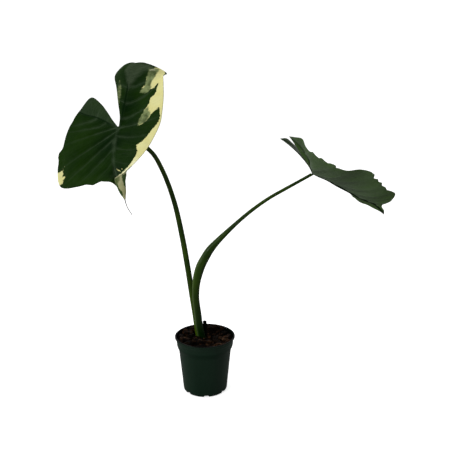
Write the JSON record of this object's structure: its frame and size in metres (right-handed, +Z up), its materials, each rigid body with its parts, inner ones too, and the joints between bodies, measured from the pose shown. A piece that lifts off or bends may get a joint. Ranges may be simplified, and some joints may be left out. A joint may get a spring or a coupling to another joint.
{
  "type": "potted xanthosoma",
  "caption": "Variegated arrow-leaved aroid plant on long petioles, standing in potting mix in a round nursery pot.",
  "frame": {"origin": "middle of the pot's underside, on the surface that the pot stands on", "axes": "+Z up along the plant; +X to the right and -Y towards the viewer, with the variegated leaf's upper face towards -Y and the second leaf held out towards +X"},
  "size_m": [0.5226, 0.1868, 0.5593],
  "materials": {
    "pot_plastic": "satin dark green moulded plastic",
    "potting_mix": "loose dark potting mix with bark chips",
    "corm_skin": "rough brown tuber skin",
    "dry_petiole": "dark withered stalk",
    "petiole_green": "smooth waxy green leaf stalk",
    "leaf_green": "satin dark green leaf with cream variegation"
  },
  "bodies": {
    "root": {"pot": "pot_plastic", "potting_mix": "potting_mix", "corm": "corm_skin", "old_petiole": "dry_petiole", "petiole_left": "petiole_green", "petiole_right": "petiole_green", "blade_left": "leaf_green", "blade_right": "leaf_green"}
  },
  "joints": []
}
